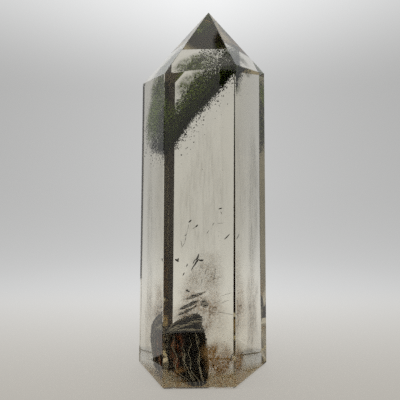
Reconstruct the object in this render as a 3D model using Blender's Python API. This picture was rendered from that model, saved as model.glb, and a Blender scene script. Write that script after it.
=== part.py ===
# Garden quartz point: a six-sided polished tower with a phantom of green chlorite grains and a dark
# fibrous inclusion that reaches the sawn base. Metres, +Z up, origin at the middle of the base.
# The quartz is parted along the phantom, so that the sealed inclusions are solids of their own.

import math

import bmesh
import bpy
import numpy as np
from mathutils import Vector

MM = 0.001

# Prism faces, in order round the tower. Bearing is the compass angle of the outward normal in degrees,
# reach is the distance from the axis at the base and lean is how far the face draws in by RIM_HEIGHT, in mm.
PRISM_FACES = {
    "front": {"bearing": -89.0, "reach": 18.2, "lean": 1.9},
    "right_front": {"bearing": -33.0, "reach": 17.8, "lean": 1.3},
    "right_back": {"bearing": 31.28, "reach": 17.42, "lean": 0.72},
    "back": {"bearing": 86.49, "reach": 17.61, "lean": 1.52},
    "left_back": {"bearing": 150.0, "reach": 17.99, "lean": 1.78},
    "left_front": {"bearing": -153.5, "reach": 18.5, "lean": 1.5},
}
RIM_HEIGHT = 91.0
# Height at which each vertical edge meets the point, from the edge after "front" round to the last, in mm
RIM_STEPS = (91.8, 93.3, 94.9, 94.95, 90.0, 89.2)
# The left back face of the point is ground deeper, and meets the edge beside the back at this height
LEFT_BACK_STEP = 91.3
APEX = (1.9, 0.0, 112.4)

# Small extra facets: which edge, the height of its corner, and how much of each edge there the cut takes
CORNER_FACETS = (
    {"faces": ("front", "right_front"), "corner": "rim", "down": 1.5, "before": 0.9, "after": 0.5},
    {"faces": ("left_front", "front"), "corner": "base", "down": -3.2, "before": 0.9, "after": 1.3},
)

EDGE_POLISH = 0.2
BASE_CHAMFER = 0.75
BASE_TOLERANCE = 0.001

# Chlorite phantom: a dusty layer parallel to the left front face of the point, this far straight below it
PHANTOM_DROP = 23.4
PARTING_GAP = 0.3

# The layer's plan lies between two lines of x and y in mm: before, towards the front face, and behind
GARDEN_BEFORE = (
    (-17.0, -2.4), (-10.6, -14.8), (-7.5, -15.2), (-6.4, -13.3), (-3.7, -11.8), (-0.8, -11.0), (3.5, -11.5),
    (9.4, -10.4),
)
GARDEN_BEHIND = ((-17.0, 1.2), (-13.0, 6.5), (-7.0, 10.0), (0.0, 10.0), (5.0, 7.5), (9.4, 3.0))
GARDEN_COLUMNS = 26
GARDEN_ROWS = 10
GARDEN_RIM = 0.8
GARDEN_THICKNESS = 4.0
# Ripples of its upper side: height as a share of the thickness, and waves along and across the layer
GARDEN_RIPPLES = ((0.12, 11.0, 5.0), (0.08, -17.0, 7.0))

# Fibrous inclusion: rings of a lumpy column, as height, centre x, centre y, half width and half depth in mm
LUMP_RINGS = (
    (0.0, -1.7, -8.6, 3.0, 6.8),
    (2.2, -1.95, -6.8, 3.3, 6.0),
    (4.0, -3.7, -4.6, 4.8, 5.1),
    (5.5, -4.6, -3.9, 5.6, 5.0),
    (8.0, -5.2, -2.9, 6.1, 4.8),
    (11.0, -5.4, -2.7, 5.9, 4.8),
    (14.0, -5.6, -3.0, 5.3, 4.6),
    (16.0, -4.6, -3.2, 4.1, 3.9),
    (17.5, -3.2, -3.4, 2.7, 2.7),
    (18.6, -2.2, -3.5, 1.3, 1.3),
)
LUMP_SIDES = 20
# Ridges of its skin: height as a share of the half width, ridges round it, and their turn from ring to ring
LUMP_RIDGES = ((0.05, 5.0, 0.35), (0.035, 8.0, -0.5))

POCKET_GAP = 0.3
POCKET_DROP = 1.0

# Material colours, linear
QUARTZ_COLOR = (0.80, 0.78, 0.70)
CHLORITE_COLOR = (0.045, 0.065, 0.030)
FIBRE_COLOR = (0.050, 0.036, 0.026)
QUARTZ_IOR = 1.544


def clear_scene():
    for item in list(bpy.data.objects):
        bpy.data.objects.remove(item, do_unlink=True)
    for mesh in list(bpy.data.meshes):
        bpy.data.meshes.remove(mesh)


def principled(name, color, roughness, transmission=0.0, ior=1.58):
    material = bpy.data.materials.new(name)
    material.use_nodes = True
    shader = material.node_tree.nodes["Principled BSDF"]
    shader.inputs["Base Color"].default_value = (*color, 1.0)
    shader.inputs["Metallic"].default_value = 0.0
    shader.inputs["Roughness"].default_value = roughness
    shader.inputs["Transmission Weight"].default_value = transmission
    shader.inputs["IOR"].default_value = ior
    return material


def quartz_material(name):
    return principled(name, QUARTZ_COLOR, roughness=0.03, transmission=1.0, ior=QUARTZ_IOR)


def chlorite_material():
    return principled("chlorite_garden", CHLORITE_COLOR, roughness=0.75)


def fibre_material():
    return principled("dark_inclusion", FIBRE_COLOR, roughness=0.65)


def edge_point(first, second, height):
    # Where two neighbouring prism faces meet at a height: two lines in plan, solved for x and y
    rows = []
    reaches = []
    for face in (PRISM_FACES[first], PRISM_FACES[second]):
        bearing = math.radians(face["bearing"])
        rows.append((math.cos(bearing), math.sin(bearing)))
        reaches.append(face["reach"] - face["lean"] * height / RIM_HEIGHT)
    x, y = np.linalg.solve(np.array(rows), np.array(reaches))
    return Vector((x, y, height))


def edge_ring(heights):
    # All six upright edges, each at its own height
    names = list(PRISM_FACES)
    followers = names[1:] + names[:1]
    return [edge_point(first, second, height) for first, second, height in zip(names, followers, heights)]


def phantom_plane():
    # Parallel to the left front face of the point, through its rim edge dropped by PHANTOM_DROP
    *_, left, front = edge_ring(RIM_STEPS)
    normal = (front - left).cross(Vector(APEX) - left).normalized()
    return front - Vector((0.0, 0.0, PHANTOM_DROP)), normal


def phantom_height(x, y):
    point, normal = phantom_plane()
    return point.z - (normal.x * (x - point.x) + normal.y * (y - point.y)) / normal.z


def new_object(name, form, material):
    # Takes a bmesh in mm, writes it in metres and lets it go
    bmesh.ops.scale(form, vec=(MM, MM, MM), verts=form.verts)
    bmesh.ops.recalc_face_normals(form, faces=form.faces)
    mesh = bpy.data.meshes.new(name)
    form.to_mesh(mesh)
    form.free()
    item = bpy.data.objects.new(name, mesh)
    if material:
        mesh.materials.append(material)
    bpy.context.scene.collection.objects.link(item)
    return item


def cut_flat(form, point, normal, drop_outer):
    # Slices the closed form with a plane, drops one side and fills the slice
    bmesh.ops.bisect_plane(
        form,
        geom=form.verts[:] + form.edges[:] + form.faces[:],
        plane_co=point,
        plane_no=normal,
        clear_inner=not drop_outer,
        clear_outer=drop_outer,
    )
    bmesh.ops.edgeloop_fill(form, edges=[edge for edge in form.edges if edge.is_boundary])


def cut_corner(form, facet, base, rim):
    # One small facet through three points: on the upright edge, and on the ring's edge to either side
    at = list(PRISM_FACES).index(facet["faces"][0])
    ring = rim if facet["corner"] == "rim" else base
    corner = ring[at]
    upright = edge_point(*facet["faces"], corner.z - facet["down"])
    before = corner + (ring[at - 1] - corner).normalized() * facet["before"]
    after = corner + (ring[(at + 1) % len(ring)] - corner).normalized() * facet["after"]
    normal = (before - upright).cross(after - upright).normalized()
    if normal.dot(corner - upright) < 0.0:
        normal = -normal
    cut_flat(form, upright, normal, drop_outer=True)


def tower_form():
    # Six prism faces between a base ring and a rim ring, six faces up to the tip, then polished edges
    form = bmesh.new()
    base_ring = edge_ring([0.0] * len(RIM_STEPS))
    rim_ring = edge_ring(RIM_STEPS)
    base = [form.verts.new(point) for point in base_ring]
    rim = [form.verts.new(point) for point in rim_ring]
    tip = form.verts.new(APEX)
    form.faces.new(base[::-1])
    for side in range(len(base)):
        follower = (side + 1) % len(base)
        form.faces.new((base[side], base[follower], rim[follower], rim[side]))
        form.faces.new((rim[side], rim[follower], tip))
    low = edge_point("back", "left_back", LEFT_BACK_STEP)
    left = rim_ring[list(PRISM_FACES).index("left_back")]
    cut_flat(form, low, (left - low).cross(Vector(APEX) - low).normalized(), drop_outer=True)
    for facet in CORNER_FACETS:
        cut_corner(form, facet, base_ring, rim_ring)
    foot = [edge for edge in form.edges if all(vert.co.z < BASE_TOLERANCE for vert in edge.verts)]
    bmesh.ops.bevel(form, geom=foot, offset=BASE_CHAMFER, segments=1, affect="EDGES")
    bmesh.ops.bevel(form, geom=form.edges[:], offset=EDGE_POLISH, segments=1, affect="EDGES")
    return form


def part_tower(form, keep_upper):
    # Cuts the tower along the phantom, half the parting gap clear of it
    point, normal = phantom_plane()
    side = 1.0 if keep_upper else -1.0
    cut_flat(form, point + normal * (side * PARTING_GAP / 2.0), normal, drop_outer=not keep_upper)
    return form


def garden_height(along, inner):
    # Thickness of the layer: full in the middle, drawn in to its rim on all sides, rippled
    body = math.sin(math.pi * along) ** 0.3 * math.sin(math.pi * (0.12 + 0.88 * inner)) ** 0.3
    ripple = 1.0 + sum(size * math.sin(a * along + b * inner) for size, a, b in GARDEN_RIPPLES)
    return GARDEN_RIM + (GARDEN_THICKNESS - GARDEN_RIM) * body * ripple


def garden_form(grow=0.0, drop=0.0):
    # A lumpy slab on the phantom, as two grids of points joined round their outline
    before = np.array(GARDEN_BEFORE)
    behind = np.array(GARDEN_BEHIND)
    form = bmesh.new()
    bottom = []
    top = []
    for row in range(GARDEN_ROWS + 1):
        inner = row / GARDEN_ROWS
        for column in range(GARDEN_COLUMNS + 1):
            along = column / GARDEN_COLUMNS
            x = before[0, 0] + np.ptp(before[:, 0]) * along
            y = np.interp(x, *before.T) * (1.0 - inner) + np.interp(x, *behind.T) * inner
            x += grow * (2.0 * along - 1.0)
            y += grow * (2.0 * inner - 1.0)
            floor = phantom_height(x, y) + PARTING_GAP
            bottom.append(form.verts.new((x, y, floor - drop)))
            top.append(form.verts.new((x, y, floor + garden_height(along, inner) + grow)))
    stride = GARDEN_COLUMNS + 1
    for verts in (bottom, top):
        for row in range(GARDEN_ROWS):
            for column in range(GARDEN_COLUMNS):
                at = row * stride + column
                form.faces.new((verts[at], verts[at + 1], verts[at + stride + 1], verts[at + stride]))
    outline = list(range(GARDEN_COLUMNS))
    outline += [row * stride + GARDEN_COLUMNS for row in range(GARDEN_ROWS)]
    outline += [GARDEN_ROWS * stride + column for column in range(GARDEN_COLUMNS, 0, -1)]
    outline += [row * stride for row in range(GARDEN_ROWS, 0, -1)]
    for here, there in zip(outline, outline[1:] + outline[:1]):
        form.faces.new((bottom[here], bottom[there], top[there], top[here]))
    return form


def lump_form(grow=0.0, drop=0.0):
    # Rings of a ridged column, joined upward; the ridges run with the fibres, which stand nearly upright.
    # A drop carries the lowest ring straight down.
    form = bmesh.new()
    rings = []
    levels = [(level, *ring) for level, ring in enumerate(LUMP_RINGS)]
    if drop > 0.0:
        levels.insert(0, (0, -drop, *LUMP_RINGS[0][1:]))
    for level, height, x, y, half_width, half_depth in levels:
        height += grow if level == len(LUMP_RINGS) - 1 else 0.0
        ring = []
        for side in range(LUMP_SIDES):
            turn = 2.0 * math.pi * side / LUMP_SIDES
            ridge = 1.0 + sum(size * math.sin(ridges * turn + twist * level)
                              for size, ridges, twist in LUMP_RIDGES)
            across = (half_width * ridge + grow) * math.cos(turn)
            deep = (half_depth * ridge + grow) * math.sin(turn)
            ring.append(form.verts.new((x + across, y + deep, height)))
        rings.append(ring)
    for lower, upper in zip(rings, rings[1:]):
        for side in range(LUMP_SIDES):
            follower = (side + 1) % LUMP_SIDES
            form.faces.new((lower[side], lower[follower], upper[follower], upper[side]))
    form.faces.new(rings[0][::-1])
    form.faces.new(rings[-1])
    return form


def cut_pocket(item, name, form):
    cutter = new_object(name, form, None)
    cutter.hide_render = True
    cutter.display_type = "WIRE"
    pocket = item.modifiers.new(name, "BOOLEAN")
    pocket.operation = "DIFFERENCE"
    pocket.solver = "EXACT"
    pocket.object = cutter


def build():
    clear_scene()
    lower = part_tower(tower_form(), keep_upper=False)
    upper = part_tower(tower_form(), keep_upper=True)
    body = new_object("quartz_body", lower, quartz_material("quartz_body"))
    cap = new_object("quartz_cap", upper, quartz_material("quartz_cap"))
    new_object("chlorite_garden", garden_form(), chlorite_material())
    new_object("dark_inclusion", lump_form(), fibre_material())
    cut_pocket(cap, "garden_pocket", garden_form(grow=POCKET_GAP, drop=POCKET_DROP))
    cut_pocket(body, "lump_pocket", lump_form(grow=POCKET_GAP, drop=POCKET_DROP))


build()
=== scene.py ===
import math
from functools import partial
import bpy
import numpy as np
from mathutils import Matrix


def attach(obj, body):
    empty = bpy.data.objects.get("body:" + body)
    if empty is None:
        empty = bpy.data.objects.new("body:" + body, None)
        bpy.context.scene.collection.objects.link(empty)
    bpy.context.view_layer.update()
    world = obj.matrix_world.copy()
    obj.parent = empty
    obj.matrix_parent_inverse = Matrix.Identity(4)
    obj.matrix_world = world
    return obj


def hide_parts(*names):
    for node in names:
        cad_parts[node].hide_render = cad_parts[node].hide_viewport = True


# Garden quartz point: a polished quartz tower with chlorite grains, a dark fibrous inclusion,
# needles, pinpoints and healed fractures in it. Everything is worked out in mm and written in metres.

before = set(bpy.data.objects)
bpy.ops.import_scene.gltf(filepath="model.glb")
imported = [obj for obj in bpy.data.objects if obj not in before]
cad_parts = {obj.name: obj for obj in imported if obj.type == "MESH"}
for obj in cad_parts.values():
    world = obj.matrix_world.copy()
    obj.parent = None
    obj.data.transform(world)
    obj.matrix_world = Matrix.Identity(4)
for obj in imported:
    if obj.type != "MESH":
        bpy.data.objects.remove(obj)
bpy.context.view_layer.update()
scene = bpy.context.scene
mm = 0.001
body = "root"


# Small helpers

def linearColor(hexText, alpha=1.0):
    # sRGB hex to linear: the standard two-part curve on each channel
    channels = [int(hexText[i:i + 2], 16) / 255.0 for i in (1, 3, 5)]
    linear = [c / 12.92 if c <= 0.04045 else ((c + 0.055) / 1.055) ** 2.4 for c in channels]
    return (*linear, alpha)


def addNode(material, kind, settings=None, links=None):
    # One shader node with its settings, socket values and incoming links; a link is (node, output)
    tree = material.node_tree
    node = tree.nodes.new("ShaderNode" + kind)
    for key, value in (settings or {}).items():
        if isinstance(key, int) or key in node.inputs:
            node.inputs[key].default_value = value
        else:
            setattr(node, key, value)
    for key, (source, output) in (links or {}).items():
        tree.links.new(source.outputs[output], node.inputs[key])
    return node


def newMaterial(name):
    # An empty material, and the function that adds a node to it
    material = bpy.data.materials.new(name)
    material.use_nodes = True
    material.node_tree.nodes.clear()
    return material, partial(addNode, material)


def setRamp(node, stops):
    # Stops are (position, hex colour)
    ramp = node.color_ramp
    while len(ramp.elements) < len(stops):
        ramp.elements.new(0.5)
    for element, (position, hexText) in zip(ramp.elements, stops):
        element.position = position
        element.color = linearColor(hexText)


def tonedMaterial(name, stops, roughness, ior):
    # Loose mineral specks and fibres: each carries its own tone, which a ramp turns into its colour
    material, add = newMaterial(name)
    tone = add("Attribute", {"attribute_name": "tone"})
    color = add("ValToRGB", links={"Fac": (tone, "Fac")})
    setRamp(color, stops)
    shader = add("BsdfPrincipled", {"Roughness": roughness, "IOR": ior}, {"Base Color": (color, 0)})
    add("OutputMaterial", links={"Surface": (shader, 0)})
    return material


def makePiece(name, points, faces, material, smooth=True):
    # Points in mm, faces as rows of point numbers; the object stays at the origin, unturned and unscaled
    mesh = bpy.data.meshes.new(name)
    mesh.from_pydata((np.asarray(points) * mm).tolist(), [], [list(face) for face in faces])
    mesh.polygons.foreach_set("use_smooth", np.full(len(mesh.polygons), smooth))
    mesh.materials.append(material)
    mesh.update()
    piece = bpy.data.objects.new(name, mesh)
    scene.collection.objects.link(piece)
    return piece


def addAttribute(piece, name, values, domain="POINT"):
    attribute = piece.data.attributes.new(name, "FLOAT", domain)
    attribute.data.foreach_set("value", np.asarray(values, np.float32))


def unit(vectors):
    # Each vector divided by its length
    return vectors / np.linalg.norm(vectors, axis=-1, keepdims=True)


def smoothStep(low, high, values):
    # 0 below low, 1 above high, and three squares less two cubes between them
    t = np.clip((values - low) / (high - low), 0.0, 1.0)
    return t * t * (3.0 - 2.0 * t)


# The tower: the same cut as the solids, in mm and degrees

towerCut = {
    "faces": {  # bearing, reach at the base, lean over the rim height
        "front": (-89.0, 18.2, 1.9),
        "rightFront": (-33.0, 17.8, 1.3),
        "rightBack": (31.28, 17.42, 0.72),
        "back": (86.49, 17.61, 1.52),
        "leftBack": (150.0, 17.99, 1.78),
        "leftFront": (-153.5, 18.5, 1.5),
    },
    "rimHeight": 91.0,
    "rimSteps": (91.8, 93.3, 94.9, 94.95, 90.0, 89.2),  # where each upright edge ends
    "leftBackStep": 91.3,  # the left back point face starts lower on its back edge
    "apex": (1.9, 0.0, 112.4),
    "edgeStrip": 0.26,  # width of the strip that the last polish left along each long edge
    "rimStrip": 0.22,  # and along the rim between the prism and the point
    "baseStrip": 1.0575,  # ground chamfer round the base
    "phantomDrop": 23.4,  # how far the phantom lies under the left front face of the point
}

finishes = {"polished": 0.0, "strip": 1.0, "chamfer": 1.4, "ground": 2.0}  # how dull each kind of facet is


def edgePoint(first, second, height):
    # Where two neighbouring prism faces meet at a height: two lines in plan, solved for x and y
    rows, reaches = [], []
    for name in (first, second):
        bearing, reach, lean = towerCut["faces"][name]
        rows.append((math.cos(math.radians(bearing)), math.sin(math.radians(bearing))))
        reaches.append(reach - lean * height / towerCut["rimHeight"])
    x, y = np.linalg.solve(np.array(rows), np.array(reaches))
    return np.array((x, y, height))


def planeThrough(a, b, c, outward):
    # Plane through three points as (unit normal, distance), turned to point the way of outward
    normal = unit(np.cross(b - a, c - a))
    normal = normal if normal @ outward > 0.0 else -normal
    return normal, normal @ a


def towerPlanes():
    # Every facet as a half space: unit normal, distance from the origin along it, and finish
    names = list(towerCut["faces"])
    apex = np.array(towerCut["apex"])
    base = [edgePoint(names[i], names[(i + 1) % 6], 0.0) for i in range(6)]
    rim = [edgePoint(names[i], names[(i + 1) % 6], step) for i, step in enumerate(towerCut["rimSteps"])]
    prism, point = [], []
    for i, (bearing, reach, lean) in enumerate(towerCut["faces"].values()):
        normal = np.array((math.cos(math.radians(bearing)), math.sin(math.radians(bearing)),
                           lean / towerCut["rimHeight"]))
        length = np.linalg.norm(normal)
        prism.append((normal / length, reach / length))
        start = rim[i - 1]
        if names[i] == "leftBack":
            start = edgePoint("back", "leftBack", towerCut["leftBackStep"])
        point.append(planeThrough(start, rim[i], apex, prism[-1][0]))
    down = (np.array((0.0, 0.0, -1.0)), 0.0)
    facets = [(*plane, finishes["polished"]) for plane in prism + point] + [(*down, finishes["ground"])]

    def cutEdge(one, other, onEdge, width, finish):
        # A narrow facet halfway between two facets, set in so that its strip is about width across
        between = unit(one[0] + other[0])
        opening = math.acos(np.clip(one[0] @ other[0], -1.0, 1.0))
        distance = between @ onEdge - width / 2.0 * math.tan(opening / 2.0)
        facets.append((between, distance, finishes[finish]))

    for i in range(6):
        after = (i + 1) % 6
        cutEdge(prism[i], prism[after], base[i], towerCut["edgeStrip"], "strip")
        cutEdge(point[i], point[after], apex, towerCut["edgeStrip"], "strip")
        cutEdge(prism[i], point[i], rim[i], towerCut["rimStrip"], "strip")
        cutEdge(prism[i], down, base[i], towerCut["baseStrip"], "chamfer")
    for corner, facet in (  # small facets worn on two corners, through three points near the corner
        (rim[0], (edgePoint("front", "rightFront", rim[0][2] - 1.5), rim[0] + unit(rim[5] - rim[0]) * 0.9,
                  rim[0] + unit(rim[1] - rim[0]) * 0.5)),
        (base[5], (edgePoint("leftFront", "front", 3.2), base[5] + unit(base[4] - base[5]) * 0.9,
                   base[5] + unit(base[0] - base[5]) * 1.3)),
    ):
        normal, distance = planeThrough(*facet, outward=corner - np.mean(facet, axis=0))
        facets.append((normal, distance, finishes["strip"]))
    return facets


def convexSolid(facets):
    # Corners are the meeting points of plane triples that lie inside every half space;
    # a facet's corners are those on its plane, put in order by their turn round its middle
    normals = np.array([f[0] for f in facets])
    distances = np.array([f[1] for f in facets])
    count = len(facets)
    i, j, k = np.array([(a, b, c) for a in range(count) for b in range(a + 1, count)
                        for c in range(b + 1, count)]).T
    triples = np.stack((normals[i], normals[j], normals[k]), axis=1)
    solvable = np.abs(np.linalg.det(triples)) > 1e-5
    reach = np.stack((distances[i], distances[j], distances[k]), axis=1)
    corners = np.linalg.solve(triples[solvable], reach[solvable][..., None])[..., 0]
    inside = (corners @ normals.T <= distances + 1e-6).all(axis=1)
    corners = np.unique(np.round(corners[inside], 4), axis=0)
    faces, dullness = [], []
    for normal, distance, finish in facets:
        onPlane = np.flatnonzero(np.abs(corners @ normal - distance) < 4e-4)
        if len(onPlane) < 3:
            continue
        middle = corners[onPlane].mean(axis=0)
        side = unit(np.cross(normal, (0.0, 0.0, 1.0) if abs(normal[2]) < 0.9 else (1.0, 0.0, 0.0)))
        up = np.cross(normal, side)
        turn = np.arctan2((corners[onPlane] - middle) @ up, (corners[onPlane] - middle) @ side)
        faces.append(onPlane[np.argsort(turn)])
        dullness.append(finish)
    return corners, faces, dullness


quartzLook = {
    "ior": 1.544,
    "smokyTint": "#d9cb8e",  # colour that the smoky crystal passes best
    "smokyDensity": 13.0,  # absorption per metre of the colours that it doesn't pass
    "baseRoughness": 0.24,  # the edge strips get half of it
    "waveSize": 0.7,  # the polish is not quite flat: long low waves
    "waveHeight": 0.0022,
    "dustGrain": (1.111, 3.846, 2.5),  # size of the dust streaks across, front to back and up
    "dustStops": ((0.30, "#c08a52"), (0.46, "#f8dcaa"), (0.60, "#fff4d8")),
    "dustShare": 0.92,
    "dustFrom": -4.0,  # in front of this line the dust is thickest
    "dustTo": 5.5,  # and behind this one there is none
}


def quartzMaterial():
    # Quartz, cut and polished: clear with a faint smoky tint, mirror-smooth faces, slightly rough edges
    # and a sawn, ground base that holds a little tan polishing dust
    look = quartzLook
    material, add = newMaterial("polished_smoky_quartz")
    where = add("TexCoord")
    finish = add("Attribute", {"attribute_name": "finish"})
    roughness = add("MapRange", {"From Max": finishes["ground"], "To Max": look["baseRoughness"]},
                    {"Value": (finish, "Fac")})
    # polishing waves 0.7 mm across and about 2 microns high: they mottle what is mirrored many times
    polish = add("TexNoise", {"Scale": 1.0 / (look["waveSize"] * mm), "Detail": 2.0},
                 {"Vector": (where, "Object")})
    bump = add("Bump", {"Strength": 1.0, "Distance": look["waveHeight"] * mm},
               {"Height": (polish, "Fac")})
    glass = add("BsdfPrincipled",
                {"Base Color": (1.0, 1.0, 1.0, 1.0), "Transmission Weight": 1.0, "IOR": look["ior"]},
                {"Roughness": (roughness, 0), "Normal": (bump, 0)})
    # dust in the saw marks of the base alone: streaks 1 mm wide and 4 mm long, from front to back
    stretch = add("Mapping", {"Scale": [1.0 / (size * mm) for size in look["dustGrain"]]},
                  {"Vector": (where, "Object")})
    mottle = add("TexNoise", {"Scale": 1.0, "Detail": 5.0, "Roughness": 0.65}, {"Vector": (stretch, 0)})
    dustColor = add("ValToRGB", links={"Fac": (mottle, "Fac")})
    setRamp(dustColor, look["dustStops"])
    dust = add("BsdfDiffuse", links={"Color": (dustColor, 0)})
    onBase = add("Math", {"operation": "GREATER_THAN", 1: 1.5}, {0: (finish, "Fac")})
    split = add("SeparateXYZ", links={"Vector": (where, "Object")})
    forward = add("MapRange", {"From Min": look["dustFrom"] * mm, "From Max": look["dustTo"] * mm,
                               "To Min": look["dustShare"], "To Max": 0.0},
                  {"Value": (split, "Y")})
    # met at a low angle the ground base scatters, met steeply it lets the dark under the tower through
    facing = add("LayerWeight", {"Blend": 0.5})
    low = add("MapRange", {"From Min": 0.15, "From Max": 0.55, "To Min": 0.05},
              {"Value": (facing, "Facing")})
    dusty = add("Math", {"operation": "MULTIPLY"}, {0: (onBase, 0), 1: (forward, 0)})
    share = add("Math", {"operation": "MULTIPLY"}, {0: (dusty, 0), 1: (low, 0)})
    surface = add("MixShader", links={"Fac": (share, 0), 1: (glass, 0), 2: (dust, 0)})
    smoke = add("VolumeAbsorption",
                {"Color": linearColor(look["smokyTint"]), "Density": look["smokyDensity"]})
    add("OutputMaterial", links={"Surface": (surface, 0), "Volume": (smoke, 0)})
    return material


facetPlanes = towerPlanes()
corners, facetRows, dullness = convexSolid(facetPlanes)
tower = makePiece("quartz_tower", corners, facetRows, quartzMaterial(), smooth=False)
addAttribute(tower, "finish", dullness, "FACE")
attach(tower, body)
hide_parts("quartz_body", "quartz_cap")
print("scene stage: tower,", len(facetRows), "facets")


# The chlorite garden: grains that settled on a younger crystal's point, now a phantom in the tower

gardenLook = {
    "before": ((-17.0, -2.4), (-10.6, -14.8), (-7.5, -15.2), (-6.4, -13.3), (-3.7, -11.8), (-0.8, -11.0),
               (3.5, -11.5), (9.4, -10.4)),  # x and y where the grains begin behind the front face
    "behind": ((-17.0, 1.2), (-13.0, 6.5), (-7.0, 10.0), (0.0, 10.0), (5.0, 7.5),
               (9.4, 3.0)),  # and where they end
    "raggedness": 1.3,  # how far single grains stray across that line
    "skin": 0.7,  # clear quartz left under the polished faces
    "layer": 4.0,  # thickness of the whole layer
    "grains": {  # count, half widths, how far in they thin out, how far above the phantom, tones, two seeds
        "coarse": (12000, (0.12, 0.32), 7.5, 0.8, (0.0, 0.42), 11, 13),
        "fine": (20000, (0.06, 0.13), 11.0, 1.6, (0.25, 1.0), 16, 18),
        "crowded": (10000, (0.10, 0.24), 3.4, 1.0, (0.0, 0.5), 20, 15),
    },
    "thinLeft": 0.03,  # the share of grains that is left at the far left
    "thinRight": 0.45,  # and the share that is missing at the right
    "sunk": 1.3,  # some grains strayed under the phantom
    "sunkShare": 0.22,
    "clump": 0.7,  # how strongly the grains gather in clumps
    "flake": 0.08,  # size of the flakes on each grain
    "stops": ((0.0, "#030502"), (0.35, "#0f1e06"), (0.75, "#3a5212"), (1.0, "#8aa030")),
}


def waves(u, v, seed, count=7, low=3.0, high=26.0):
    # Smooth patchiness from 0 to 1: count sines of random direction, frequency and phase, summed
    rng = np.random.default_rng(seed)
    total = np.zeros_like(u)
    for _ in range(count):
        turn, rate, phase = rng.uniform(0.0, math.tau), rng.uniform(low, high), rng.uniform(0.0, math.tau)
        total += np.sin(rate * (u * math.cos(turn) + v * math.sin(turn)) + phase)
    return 0.5 + 0.5 * np.tanh(total / math.sqrt(count) * 1.2)


def phantomPlane():
    # Parallel to the left front point face, through its rim edge dropped by the phantom's drop
    left = edgePoint("leftBack", "leftFront", towerCut["rimSteps"][4])
    front = edgePoint("leftFront", "front", towerCut["rimSteps"][5])
    normal = unit(np.cross(front - left, np.array(towerCut["apex"]) - left))
    return front - np.array((0.0, 0.0, towerCut["phantomDrop"])), normal


def phantomHeight(x, y):
    # The height at which the phantom's plane passes over x and y
    point, normal = phantomPlane()
    return point[2] - (normal[0] * (x - point[0]) + normal[1] * (y - point[1])) / normal[2]


def insideTower(points, skin):
    # Whether each point lies at least skin under every facet
    normals, distances = np.array([f[0] for f in facetPlanes]), np.array([f[1] for f in facetPlanes])
    return (points @ normals.T <= distances - skin).all(axis=-1)


def grainPiece(name, centres, sizes, tones, material, seed):
    # Each grain is an eight-sided crystal: six corners out along three square axes turned at random,
    # each half axis its own length
    rng = np.random.default_rng(seed)
    count = len(centres)
    axes = np.linalg.qr(rng.normal(size=(count, 3, 3)))[0]
    axes[np.linalg.det(axes) < 0.0, 2] *= -1.0
    axes = axes * (sizes[:, None] * rng.uniform(0.55, 1.25, size=(count, 3)))[..., None]
    points = centres[:, None, :] + np.concatenate((axes, -axes), axis=1)
    pattern = np.array(((0, 1, 2), (1, 3, 2), (3, 4, 2), (4, 0, 2),
                        (1, 0, 5), (3, 1, 5), (4, 3, 5), (0, 4, 5)))
    faces = pattern[None] + (np.arange(count) * 6)[:, None, None]
    piece = makePiece(name, points.reshape(-1, 3), faces.reshape(-1, 3), material, smooth=False)
    addAttribute(piece, "tone", np.repeat(tones, 6))
    return piece


def chloriteMaterial():
    # Chlorite: soft dark green mica-like mineral in dull grains, near black where the grains lie thick
    material, add = newMaterial("chlorite_grains")
    tone = add("Attribute", {"attribute_name": "tone"})
    color = add("ValToRGB", links={"Fac": (tone, "Fac")})
    setRamp(color, gardenLook["stops"])
    where = add("TexCoord")
    scale = add("TexNoise", {"Scale": 1.0 / (gardenLook["flake"] * mm), "Detail": 2.0},
                {"Vector": (where, "Object")})
    bump = add("Bump", {"Strength": 0.5, "Distance": 0.02 * mm}, {"Height": (scale, "Fac")})
    shader = add("BsdfPrincipled",
                 {"Roughness": 0.8, "IOR": 1.58, "Specular IOR Level": 0.12},
                 {"Base Color": (color, 0), "Normal": (bump, 0)})
    add("OutputMaterial", links={"Surface": (shader, 0)})
    return material


def scatterGarden(count, halfWidths, reach, rise, toneRange, seed):
    # Grains thrown over the phantom between the two lines: they thin inward from the first by an exponential
    # fall-off, gather in clumps, and each is lifted off the phantom by a second fall-off
    look = gardenLook
    rng = np.random.default_rng(seed)
    tries = count * 9
    x, y = rng.uniform(-17.6, 9.4, tries), rng.uniform(-16.5, 11.0, tries)
    before = np.interp(x, *np.array(look["before"]).T) + rng.normal(0.0, look["raggedness"], tries)
    behind = np.interp(x, *np.array(look["behind"]).T) + rng.normal(0.0, look["raggedness"], tries)
    patch = waves(x * 0.10, y * 0.10, seed + 1)
    chance = np.exp((before - y) / reach) * (1.0 - look["clump"] * (1.0 - patch))
    lift = 0.3 + rng.exponential(rise, tries)
    lift -= rng.exponential(look["sunk"], tries) * (rng.uniform(size=tries) < look["sunkShare"])
    centres = np.stack((x, y, phantomHeight(x, y) + lift), -1)
    keep = (y > before) & (y < behind) & (lift < look["layer"]) & (rng.uniform(size=tries) < chance)
    keep &= insideTower(centres, look["skin"])
    share = look["thinLeft"] + (1.0 - look["thinLeft"]) * smoothStep(-16.0, -8.0, x)
    share *= 1.0 - look["thinRight"] * smoothStep(0.0, 8.0, x)
    keep &= rng.uniform(size=tries) < share
    centres, lift = centres[keep][:count], lift[keep][:count]
    sizes = halfWidths[0] + np.ptp(halfWidths) * rng.uniform(size=len(centres)) ** 2.0
    tones = np.clip(rng.uniform(*toneRange, len(centres)) + 0.08 * lift, 0.0, 1.0)
    return centres, sizes, tones


chlorite = chloriteMaterial()
for kind, (*scatter, grainSeed) in gardenLook["grains"].items():
    grains = grainPiece("chlorite_" + kind + "_grains", *scatterGarden(*scatter), chlorite, grainSeed)
    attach(grains, body)
    if kind == "coarse":
        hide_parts("chlorite_garden")
print("scene stage: chlorite garden")


# The dark fibrous inclusion near the base

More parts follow.
